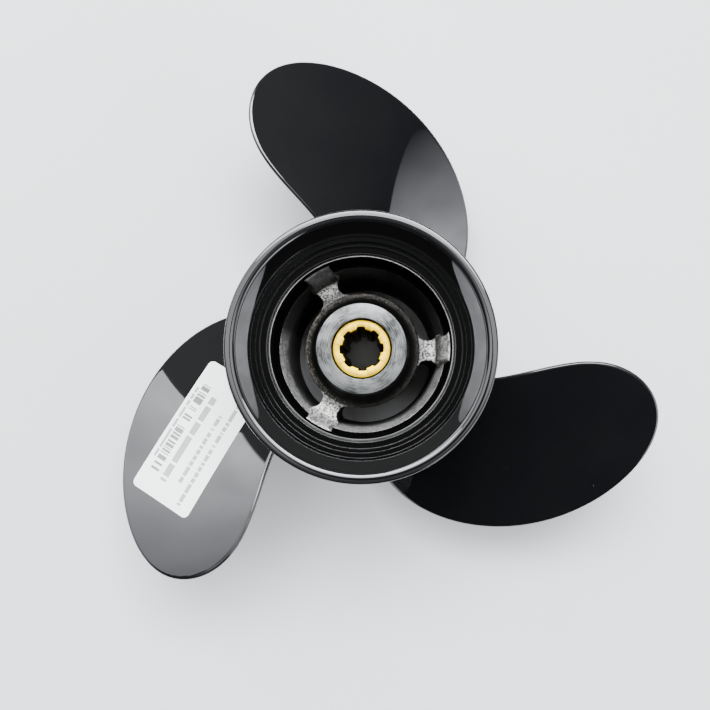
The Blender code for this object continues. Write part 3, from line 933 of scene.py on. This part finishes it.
def wall_rib():
    """The rough rib that leans against the wall above a spoke at +X, with a fillet at its foot."""
    low = SPOKE_TOP - 2.0 * MM
    front, back = [], []
    for up in 0.5 - 0.5 * np.cos(np.linspace(0, math.pi, RIB_ROWS)):
        height = low + (RIB_TOP - low) * up
        above_spoke = max(height - SPOKE_TOP, 0.0)
        below_top = RIB_TOP - height
        face = RIB_FOOT_RADIUS + (RIB_TOP_RADIUS - RIB_FOOT_RADIUS) * up
        face += 0.6 * MM * max(1 - below_top / (0.7 * MM), 0.0) ** 2
        face -= 1.3 * MM * math.exp(-above_spoke / (0.8 * MM))
        spread = 1.0 + 0.45 * math.exp(-above_spoke / (4 * MM)) + 0.06 * up**5
        for side in np.sin(np.linspace(-math.pi / 2, math.pi / 2, RIB_COLUMNS)):
            angle = side * spread * RIB_WIDTH / 2 / CHAMBER_RADIUS + RIB_LEAN * up
            inner = face + (CHAMBER_RADIUS - face) * abs(side) ** RIB_SIDE_POWER
            for points, radius in ((front, inner), (back, RIB_BACK_RADIUS)):
                points.append((radius * math.cos(angle), radius * math.sin(angle), height))
    return grid_shell("wall_rib", front, back, RIB_COLUMNS, RIB_ROWS)


def grid_shell(name, front, back, columns, rows):
    """A closed shell between two grids of points with the same columns and rows."""
    faces = []
    shift = len(front)
    for row in range(rows - 1):
        for column in range(columns - 1):
            a = row * columns + column
            quad = (a, a + 1, a + columns + 1, a + columns)
            faces.append(quad)
            faces.append(tuple(shift + corner for corner in reversed(quad)))
    last = (rows - 1) * columns
    border = [(i, i + 1) for i in range(columns - 1)]
    border += [(i * columns + columns - 1, (i + 1) * columns + columns - 1) for i in range(rows - 1)]
    border += [(last + i + 1, last + i) for i in range(columns - 1)]
    border += [((i + 1) * columns, i * columns) for i in range(rows - 1)]
    faces += [(b, a, a + shift, b + shift) for a, b in border]
    item = mesh_from(name, front + back, faces)
    tidy_mesh(item, 0.0005 * MM)
    return item


ribs = smooth(repeated(wall_rib(), "wall_ribs", BLADES, first=spoke_turn, finish=RIB_CAST), 60)
print("ribs:", len(ribs.data.vertices), "points")

# %% [markdown]
# The blade is the one piece that truly follows a rule. Its driving face is a helix of constant
# pitch, like a screw thread: a point climbs by the pitch for each full turn. A draughtsman draws the
# blade flat, as an outline of angle against radius with a thickness at each point. The same flat
# drawing is a mesh here, with the angle along X, the radius along Y and the distance behind the
# face along Z. A Geometry Nodes tree then wraps it onto the helix and repeats it.

# %% The tree that wraps a flat blade onto its helix


def helix_tree():
    """Moves each point of the flat drawing to its place on the helix."""
    sockets = [
        ("Pitch", "NodeSocketFloat"),
        ("Rake", "NodeSocketFloat"),
        ("Reference height", "NodeSocketFloat"),
        ("Reference radius", "NodeSocketFloat"),
        ("Reference angle", "NodeSocketFloat"),
        ("Finish", "NodeSocketMaterial"),
    ]
    tree, given, result = new_tree("wrap onto the helix", sockets)
    angle, radius, behind = split(tree, add_node(tree, "GeometryNodeInputPosition").outputs[0])
    climb = maths(tree, "ARCTAN2", given["Pitch"], times(tree, radius, TURN))
    drift = maths(tree, "DIVIDE", times(tree, behind, maths(tree, "SINE", climb)), radius)
    turn = minus(tree, angle, drift)
    wound = minus(tree, angle, given["Reference angle"])
    rise = maths(tree, "DIVIDE", times(tree, wound, given["Pitch"]), TURN)
    out = minus(tree, radius, given["Reference radius"])
    lean = times(tree, maths(tree, "TANGENT", given["Rake"]), out)
    thick = times(tree, behind, maths(tree, "COSINE", climb))
    height = plus(tree, rise, lean, thick, given["Reference height"])
    x = times(tree, radius, maths(tree, "COSINE", turn))
    y = times(tree, radius, maths(tree, "SINE", turn))
    inputs = {"Geometry": given["Geometry"], "Position": joined(tree, x, y, height)}
    moved = add_node(tree, "GeometryNodeSetPosition", inputs).outputs[0]
    return realised(tree, given, result, moved)


HELIX = helix_tree()

# %% [markdown]
# The outline comes from an offset table, as on a real drawing: at each share of the tip radius, the
# angle of both edges and the greatest thickness. Both edges are one smooth polynomial of the signed
# root of the distance to the tip, which makes the tip round with no special case.

# %% The blade's outline
# Share of the tip radius, angles of the leading and the trailing edge, thickness in mm
BLADE_TABLE = (
    (0.30, 32.5, 103.5, 9.0),
    (0.40, 37.0, 108.0, 7.8),
    (0.50, 43.4, 112.5, 6.7),
    (0.60, 53.0, 116.3, 5.7),
    (0.70, 62.2, 118.6, 4.9),
    (0.80, 72.5, 118.9, 4.1),
    (0.90, 84.9, 116.5, 3.3),
    (0.95, 92.4, 113.7, 2.9),
    (0.98, 98.0, 110.8, 2.5),
)
TIP_ANGLE = 105.2
OUTLINE_DEGREE = 8
BLADE_HEIGHT = 47.0 * MM
BLADE_HEIGHT_ANGLE = 90.0
BLADE_HEIGHT_RADIUS = 75.0 * MM
RAKE = 3.0
EDGE_THICKNESS = 1.7 * MM
ROOT_RADIUS = 31.5 * MM
ROOT_FILLET = 5.0 * MM
ROOT_SINK = 0.15 * MM
EDGE_TRIM = 0.20 * MM

shares = np.array([row[0] for row in BLADE_TABLE])
roots = np.sqrt(1 - shares)
signed = np.concatenate([-roots, [0.0], roots[::-1]])
edges = [row[1] for row in BLADE_TABLE] + [TIP_ANGLE] + [row[2] for row in reversed(BLADE_TABLE)]
OUTLINE = np.polyfit(signed, edges, OUTLINE_DEGREE)


def pitch_angle(radius):
    """How steeply the helix climbs at this radius."""
    return math.atan2(PITCH, TURN * radius)


def root_fillet(radius):
    """How much the round fillet at the barrel thickens the blade on each side."""
    away = min(max(radius - (BARREL_RADIUS - ROOT_SINK), 0.0), ROOT_FILLET)
    return ROOT_FILLET - math.sqrt(ROOT_FILLET**2 - (ROOT_FILLET - away) ** 2)


def edge_angles(radius):
    """The angles of the leading and the trailing edge, fillet included, in radians."""
    root = math.sqrt(max(1 - radius / TIP_RADIUS, 0.0))
    reach = (root_fillet(radius) * math.cos(pitch_angle(radius)) - EDGE_TRIM) / radius
    leading = math.radians(float(np.polyval(OUTLINE, -root))) - reach
    trailing = math.radians(float(np.polyval(OUTLINE, root))) + reach
    return leading, trailing


def face_point(angle, radius):
    """The point of the driving face at this angle and radius."""
    rise = PITCH * (angle - math.radians(BLADE_HEIGHT_ANGLE)) / TURN
    lean = math.tan(math.radians(RAKE)) * (radius - BLADE_HEIGHT_RADIUS)
    return (radius * math.cos(angle), radius * math.sin(angle), BLADE_HEIGHT + rise + lean)


# %% [markdown]
# The drawing becomes a mesh with a row of points at each of many radii. A search tree of points
# along the outline tells how far in a point lies, and that rounds the edge. The rounding grows
# where the blade meets the barrel, which gives the cast fillet at the root.

# %% The blade's flat drawing
OUTLINE_POINTS = 8000
OUTLINE_REACH = 0.842
FILLET_STEPS = np.array([0, 0.1, 0.25, 0.45, 0.75, 1.1, 1.6, 2.2, 3.0, 4.0, 5.0]) * MM
BLADE_COLUMNS = 44
BLADE_ROWS = 56
# The blade grows towards its full thickness over about this distance from its edge.
GROWTH = 4 * MM


def edge_finder():
    """A search tree of points along the outline, to measure how far in a point lies."""
    finder = KDTree(OUTLINE_POINTS)
    for index, root in enumerate(np.linspace(-OUTLINE_REACH, OUTLINE_REACH, OUTLINE_POINTS)):
        radius = TIP_RADIUS * (1 - root * root)
        leading, trailing = edge_angles(radius)
        finder.insert(Vector(face_point(leading if root < 0 else trailing, radius)), index)
    finder.balance()
    return finder


def blade_radii():
    """The radii of the drawing's rows: dense at the root's fillet and at the tip."""
    fillet = [ROOT_RADIUS, BARREL_RADIUS - 1.0 * MM]
    fillet += list(BARREL_RADIUS - ROOT_SINK + FILLET_STEPS)
    outer_root = math.sqrt(1 - (fillet[-1] + 1.0 * MM) / TIP_RADIUS)
    roots = outer_root * np.linspace(1, 0.11, BLADE_ROWS) ** 1.5
    return fillet + [TIP_RADIUS * (1 - root * root) for root in roots]


def flat_blade():
    """The flat drawing as a mesh: X is the angle, Y the radius, Z the distance behind the face."""
    finder = edge_finder()
    across = 0.5 - 0.5 * np.cos(np.linspace(0, math.pi, BLADE_COLUMNS))
    rows = blade_radii()
    thicknesses = [row[3] for row in BLADE_TABLE]
    front, back = [], []
    for radius in rows:
        leading, trailing = edge_angles(radius)
        round_radius = EDGE_THICKNESS / 2 + root_fillet(radius)
        thick = float(np.interp(radius / TIP_RADIUS, shares, thicknesses)) * MM
        for share in across:
            angle = leading + (trailing - leading) * share
            edge = share in (across[0], across[-1]) or radius == rows[-1]
            inward = 0.0 if edge else finder.find(face_point(angle, radius))[2]
            bend = max(1 - inward / round_radius, 0.0)
            half = round_radius * math.sqrt(max(1 - bend * bend, 0.0))
            crown = 1 - (2 * share - 1) ** 2
            grown = 1 - math.exp(-inward / GROWTH)
            depth = half + (thick - EDGE_THICKNESS) * crown * grown
            front.append((angle, radius, half - EDGE_THICKNESS / 2))
            back.append((angle, radius, -depth - EDGE_THICKNESS / 2))
    return grid_shell("blade_drawing", front, back, BLADE_COLUMNS, len(rows))


drawing = flat_blade()
values = {"Pitch": PITCH, "Rake": math.radians(RAKE), "Finish": ENAMEL}
values["Reference_height"] = BLADE_HEIGHT
values["Reference_radius"] = BLADE_HEIGHT_RADIUS
values["Reference_angle"] = math.radians(BLADE_HEIGHT_ANGLE)
add_tree(drawing, HELIX, **values)
blade = frozen(drawing, "blade")
tidy_mesh(blade, 0.003 * MM)
blades = smooth(repeated(blade, "blades", BLADES, direction=-1.0, finish=ENAMEL), 60)
print("blade triangles:", sum(len(face.vertices) - 2 for face in blades.data.polygons))

# %% [markdown]
# The brass sleeve is one eighth of a ring, repeated. Its bore has square slots for the shaft's
# splines, with small rounds in the corners. The sector is a loop of points swept round the wall's
# cross-section, and the ends are drawn in a little so that every edge has a chamfer.

# %% Brass sleeve
SLOT_CORNER = 0.62 * MM
SLOT_TAPER = 0.12 * MM
LEAD_IN_SHARE = 0.35


def slot_path(lead_in, chamfer=0.0):
    """The bore's outline over one sector: the splines start further out where they lead in."""
    half = SPLINE_SLOT / 2 + chamfer + lead_in * LEAD_IN_SHARE
    teeth = SPLINE_RADIUS + lead_in + chamfer
    floor = SPLINE_FLOOR + chamfer
    mouth = math.degrees(math.asin(half / teeth))
    bottom = math.degrees(math.asin((half - SLOT_TAPER) / floor))
    step = 180 / SPLINES
    edge = arc((0, 0), teeth, -step, -mouth - 2.5, 5)
    middle = arc((0, 0), floor, -bottom * 0.45, 0, 4)
    corners = [edge[-1], *arc((0, 0), teeth, -mouth, -mouth, 1)]
    corners += [*arc((0, 0), floor, -bottom, -bottom, 1), middle[0]]
    left = edge[:-1] + rounded(corners, SLOT_CORNER, 6, closed=False) + middle[1:]
    return left + [(x, -y) for x, y in reversed(left[:-1])]


def sleeve_sector():
    """One sector of the sleeve, open at its two sides."""
    edge, lead, depth = 0.12 * MM, 0.5 * MM, 0.9 * MM
    ends = (
        (0.0, lead, edge),
        (0.3 * edge, lead, 0.3 * edge),
        (edge, lead, 0.0),
        (edge + depth, 0.0, 0.0),
    )
    inside = [(SLEEVE_FRONT + up, wide, cut) for up, wide, cut in ends]
    middle = (SLEEVE_FRONT + SLEEVE_REAR) / 2
    inside += [(middle - 20 * MM, 0.0, 0.0), (middle, 0.0, 0.0), (middle + 20 * MM, 0.0, 0.0)]
    inside += [(SLEEVE_REAR - up, wide, cut) for up, wide, cut in reversed(ends)]
    rings = []
    for height, wide, cut in inside:
        rings.append([(x, y, height) for x, y in slot_path(wide, cut)])
    for height, wide, cut in reversed(inside):
        outline = []
        for x, y in slot_path(wide, cut):
            angle = math.atan2(y, x)
            radius = SLEEVE_RADIUS - cut
            outline.append((radius * math.cos(angle), radius * math.sin(angle), height))
        rings.append(outline)
    width = len(rings[0])
    points = [point for ring in rings for point in ring]
    faces = []
    for ring in range(len(rings)):
        after = (ring + 1) % len(rings)
        for index in range(width - 1):
            here, there = ring * width + index, after * width + index
            faces.append((here, here + 1, there + 1, there))
    return mesh_from("sleeve_sector", points, faces)


SEAM = 0.002 * MM
sector = sleeve_sector()
first = math.radians(SPLINE_ANGLE)
sleeve = repeated(sector, "brass_sleeve", SPLINES, first=first, merge=SEAM, finish=BRASS)
tidy_mesh(sleeve, SEAM)
smooth(sleeve, 40)

# %% [markdown]
# The bushing is a rubber ring pressed between the sleeve and the inner hub. Only its front end can
# be seen, from below, so a turned profile with soft corners is enough.

# %% Rubber bushing
bush_low, bush_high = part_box("rubber_bushing")
bush_radius = bush_high.x
sleeve_gap = SLEEVE_RADIUS + 0.3 * MM
bush_corners = [
    (bush_radius, bush_high.z),
    (bush_radius, bush_low.z),
    (bush_radius - 1.5 * MM, bush_low.z),
    (bush_radius - 2.0 * MM, bush_low.z + 0.8 * MM),
    (sleeve_gap + 1.0 * MM, bush_low.z + 0.8 * MM),
    (sleeve_gap, bush_low.z),
    (sleeve_gap, bush_high.z),
]
bushing = smooth(turned("bushing", rounded(bush_corners, 0.6 * MM, 5), 96), 50)
bushing.data.materials.append(RUBBER)

# %% [markdown]
# The label is a sheet of paper laid on the blade's driving face. Its grid of points is placed by
# the same helix rule as the face, a hair above it, and its corners are rounded by drawing the
# square corner cells into quarter circles. The UV map is the flat label, so the print follows it.

# %% Label
LABEL_BLADE = 2
LABEL_LENGTH = 57.5 * MM
LABEL_WIDTH = 27.0 * MM
LABEL_CENTRE = (-65.7 * MM, -36.0 * MM)
LABEL_TURN = 62.0
LABEL_CORNER = 2.2 * MM
LABEL_LIFT = 0.12 * MM
LABEL_BACK = 0.02 * MM


def corner_rounded(along, across):
    """Moves a point of the rectangle so that the corners become quarter circles."""
    over = abs(along) - (LABEL_LENGTH / 2 - LABEL_CORNER)
    side = abs(across) - (LABEL_WIDTH / 2 - LABEL_CORNER)
    if over <= 0 or side <= 0:
        return along, across
    shrink = max(over, side) / math.hypot(over, side)
    along = math.copysign(LABEL_LENGTH / 2 - LABEL_CORNER + over * shrink, along)
    across = math.copysign(LABEL_WIDTH / 2 - LABEL_CORNER + side * shrink, across)
    return along, across


def label_point(along, across, lift):
    """A point of the label on its blade."""
    turn = math.radians(LABEL_TURN)
    x = LABEL_CENTRE[0] + along * math.cos(turn) - across * math.sin(turn)
    y = LABEL_CENTRE[1] + along * math.sin(turn) + across * math.cos(turn)
    radius = math.hypot(x, y)
    own = (math.atan2(y, x) + LABEL_BLADE * TURN / BLADES + math.pi) % TURN - math.pi
    height = face_point(own, radius)[2] + lift / math.cos(pitch_angle(radius))
    return (x, y, height)


def cells(length):
    """Positions along one side of the label, dense near both corners."""
    inner = length / 2 - LABEL_CORNER
    corner = np.linspace(inner, length / 2, 9)
    return np.concatenate([-corner[::-1], np.linspace(-inner, inner, 26)[1:-1], corner])


def make_label():
    """The label as a thin closed shell with a UV map."""
    columns, rows = cells(LABEL_LENGTH), cells(LABEL_WIDTH)
    places = [corner_rounded(along, across) for across in rows for along in columns]
    front = [label_point(along, across, LABEL_LIFT) for along, across in places]
    back = [label_point(along, across, LABEL_BACK) for along, across in places]
    item = grid_shell("paper_label", front, back, len(columns), len(rows))
    turn = math.radians(LABEL_TURN)
    uv = item.data.uv_layers.new(name="print")
    for loop in item.data.loops:
        place = item.data.vertices[loop.vertex_index].co
        x, y = place.x - LABEL_CENTRE[0], place.y - LABEL_CENTRE[1]
        along = x * math.cos(turn) + y * math.sin(turn)
        across = -x * math.sin(turn) + y * math.cos(turn)
        uv.data[loop.index].uv = (along / LABEL_LENGTH + 0.5, across / LABEL_WIDTH + 0.5)
    print("label points:", len(item.data.vertices))
    return item


label = make_label()
smooth(label, 30)

# %% [markdown]
# The print is generic: a run of bars whose widths come from random numbers, so they say nothing,
# and rows of plain grey dashes. One row of cells across the UV map gives the bars, and a mask keeps
# them inside their box.

# %% Label paper and print
# Lines of dashes: their box across the label and up it, the cells along the label, a random seed
DASHES = (
    (0.24, 0.80, 0.905, 0.945, 75.0, 3.0),
    (0.12, 0.80, 0.56, 0.66, 55.0, 11.0),
    (0.18, 0.70, 0.34, 0.40, 90.0, 23.0),
    (0.05, 0.94, 0.18, 0.24, 90.0, 31.0),
)
BAR_BOX = (0.16, 0.83, 0.74, 0.88)


def box_mask(tree, u, v, low_u, high_u, low_v, high_v):
    """1 inside a rectangle of the label and 0 outside."""
    above = [maths(tree, "GREATER_THAN", *pair) for pair in ((u, low_u), (v, low_v))]
    below = [maths(tree, "LESS_THAN", *pair) for pair in ((u, high_u), (v, high_v))]
    return times(tree, *above, *below)


def random_cells(tree, along, cells_per_unit, seed, share):
    """1 in a random share of the cells along a line, and 0 in the others."""
    number = maths(tree, "FLOOR", times(tree, along, cells_per_unit))
    inputs = {"W": plus(tree, number, seed)}
    picked = add_node(tree, "ShaderNodeTexWhiteNoise", inputs, noise_dimensions="1D")
    return maths(tree, "LESS_THAN", picked.outputs["Value"], share)


def paper_material():
    """White label paper with random bars and dashes printed on it."""
    material, tree, shader, coords = new_material("label paper", Roughness=0.45, Coat_Weight=0.15)
    u, v, _ = split(tree, add_node(tree, "ShaderNodeUVMap", uv_map="print").outputs[0])
    ink = times(tree, random_cells(tree, u, 130.0, 7.0, 0.5), box_mask(tree, u, v, *BAR_BOX))
    for *box, number, seed in DASHES:
        dashes = times(tree, random_cells(tree, u, number, seed, 0.72), box_mask(tree, u, v, *box))
        ink = largest(tree, ink, times(tree, dashes, 0.8))
    white, whiter = grey(0.80, (1.0, 1.0, 0.97)), grey(0.88, (1.0, 1.0, 0.97))
    paper = mix_colours(tree, noise(tree, coords, 900.0), white, whiter)
    feed(tree, shader, Base_Color=mix_colours(tree, times(tree, ink, 0.95), paper, grey(0.09)))
    bump(tree, shader, noise(tree, coords, 2200.0, 2.0), 0.008 * MM, 0.5)
    return material


label.data.materials.append(paper_material())

# %% [markdown]
# The stage is a pale floor, a single large square just under the propeller. The faintest mottling
# keeps it from looking like paint.

# %% Floor
FLOOR_HALF = 3.0


def floor_material():
    """A plain pale floor with the faintest mottling."""
    material, tree, shader, coords = new_material("pale floor", Roughness=0.7)
    feed(tree, shader, Base_Color=mix_colours(tree, noise(tree, coords, 9.0), grey(0.55), grey(0.60)))
    return material


corners = [(x * FLOOR_HALF, y * FLOOR_HALF, 0.0) for x, y in ((-1, -1), (1, -1), (1, 1), (-1, 1))]
floor = mesh_from("floor", corners, [(0, 1, 2, 3)])
floor.location.z = -0.05 * MM
floor.data.materials.append(floor_material())

# %% [markdown]
# A gloss black thing shows only what it mirrors, so the lights stand where it looks. Each blade's
# face is a slope, and the camera above sees in it one patch of the room: a left panel fills the
# lower left blade, a right panel the edge of the top blade, and a strong key panel overhead lights
# the rough casting. Two low strips show in the bell's cone. Black flags cut the left and right
# panels off below and above, so that they stay out of the bowl.

# %% Lights
AIM = Vector((0.0, 0.0, 50.0 * MM))
LIGHT_DISTANCE = 1.2
DAYLIGHT = (0.925, 0.95, 1.0)
FLAG_BLUR = 0.01


def panel(name, place, size, power, roll=0.0, rise=(0.0, 0.0), flags=None, fade=0.0):
    """A soft light that faces the propeller, at an azimuth and an elevation in degrees.

    Its brightness rises across it, from left to right and from bottom to top, by the rise given,
    and fades towards its left and right ends. Flags, as a photographer's black cards, cut off
    what lies below and above two elevations.
    """
    light = bpy.data.lights.new(name, "AREA")
    light.shape = "RECTANGLE" if flags else "ELLIPSE"
    light.size, light.size_y = size
    light.energy = power
    light.color = DAYLIGHT
    light.use_nodes = True
    tree = light.node_tree
    geometry = add_node(tree, "ShaderNodeNewGeometry").outputs
    u, v, _ = split(tree, geometry["Parametric"])
    across = times(tree, minus(tree, u, 0.5), rise[0])
    up = times(tree, minus(tree, v, 0.5), rise[1])
    from_middle = maths(tree, "ABSOLUTE", minus(tree, times(tree, u, 2.0), 1.0))
    ends = times(tree, maths(tree, "POWER", from_middle, 2.0), fade)
    cloth = ramp(tree, noise(tree, geometry["Position"], 3.5, 2.0), 0.3, 0.7, 0.86, 1.14)
    strength = times(tree, minus(tree, plus(tree, 1.0, across, up), ends), cloth)
    if flags:
        way = vector_maths(tree, "SUBTRACT", geometry["Position"], AIM)
        sine = split(tree, vector_maths(tree, "NORMALIZE", way))[2]
        for degrees, side in zip(flags, (FLAG_BLUR, -FLAG_BLUR)):
            edge = math.sin(math.radians(degrees))
            strength = times(tree, strength, ramp(tree, sine, edge - side, edge + side))
    tree.links.new(largest(tree, strength, 0.0), tree.nodes["Emission"].inputs["Strength"])
    item = collect(bpy.data.objects.new(name, light))
    a, e = map(math.radians, place)
    away = Vector((math.cos(a) * math.cos(e), math.sin(a) * math.cos(e), math.sin(e)))
    item.location = AIM + away * LIGHT_DISTANCE
    facing = away.to_track_quat("Z", "Y").to_matrix() @ Matrix.Rotation(math.radians(roll), 3, "Z")
    item.rotation_euler = facing.to_euler()
    return item


LEFT = {"roll": 35.0, "rise": (-1.3, 0.0), "flags": (24.0, 54.0)}
RIGHT = {"rise": (-1.3, -0.7), "flags": (25.0, 51.0)}
panel("left panel", (143.0, 42.0), (0.80, 1.0), 21.0, **LEFT)
panel("right panel", (332.5, 35.0), (1.1, 0.8), 19.0, **RIGHT)
panel("key panel", (86.0, 67.0), (1.1, 0.56), 50.0, rise=(0.0, -1.4))
for name, azimuth in (("low right strip", 0.0), ("low left strip", 183.0)):
    panel(name, (azimuth, 11.5), (1.95, 0.54), 15.0, fade=0.6)

# %% [markdown]
# A tiny lamp in the gap under the hub stands for the light that strays down the shaft's bore. The
# room itself is dim. It glows a little towards the key panel, and has a band of pale ceiling, a ring
# round the zenith by the sine of its height, which is brightest where the lip mirrors it.

# %% Stray light and the room
stray = bpy.data.lights.new("stray light", "AREA")
stray.shape = "DISK"
stray.size = 12.0 * MM
stray.energy = 0.00005
stray_lamp = collect(bpy.data.objects.new("stray light", stray))
stray_lamp.location.z = 6.0 * MM

world = bpy.data.worlds.new("dim studio")
world.use_nodes = True
room = world.node_tree
_, y, sine = split(room, add_node(room, "ShaderNodeTexCoord").outputs["Generated"])
band = times(room, ramp(room, sine, 0.83, 0.87), ramp(room, sine, 0.9945, 0.9925))
sides = times(room, ramp(room, y, -0.17, 0.05, 0.45, 6.2), ramp(room, y, 0.35, 0.12, 0.35, 1.0))
glow = ramp(room, y, -0.1, 0.7, 0.0, 0.48)
brightness = largest(room, times(room, band, sides), glow)
background = room.nodes["Background"]
background.inputs["Color"].default_value = grey(1.0, (0.97, 1.0, 1.0))
room.links.new(plus(room, brightness, 0.02), background.inputs["Strength"])
bpy.context.scene.world = world

# %% [markdown]
# The camera looks almost straight down on the bell. Its place comes from fitting the turned rings
# of the casting, whose centres drift to one side with depth, and from the blades' outlines.

# %% Camera
CAMERA_PLACE = (7.67 * MM, -14.14 * MM, 448.4 * MM)
CAMERA_TILT = (1.91, 1.52, 1.76)
CAMERA_LENS = 50.7
camera_data = bpy.data.cameras.new("camera")
camera_data.lens = CAMERA_LENS
camera_data.sensor_width = 36.0
camera_data.clip_start = 0.01
camera = collect(bpy.data.objects.new("camera", camera_data))
camera.location = CAMERA_PLACE
camera.rotation_euler = [math.radians(angle) for angle in CAMERA_TILT]
bpy.context.scene.camera = camera

# %% [markdown]
# Last, every piece is attached to the body it moves with, and the solid it stands for is hidden. Nothing
# moves on this propeller, so there is only the root.

# %% Ride and replace
CASTING = (barrel, inner_hub, spokes, ribs, blades)
for piece in CASTING:
    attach(piece, "root")
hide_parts("propeller_casting")
for piece, node, slot in (
    (sleeve, "splined_sleeve", "brass"),
    (bushing, "rubber_bushing", "rubber"),
    (label, "blade_label", "label_paper"),
):
    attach(piece, "root")
    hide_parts(node)
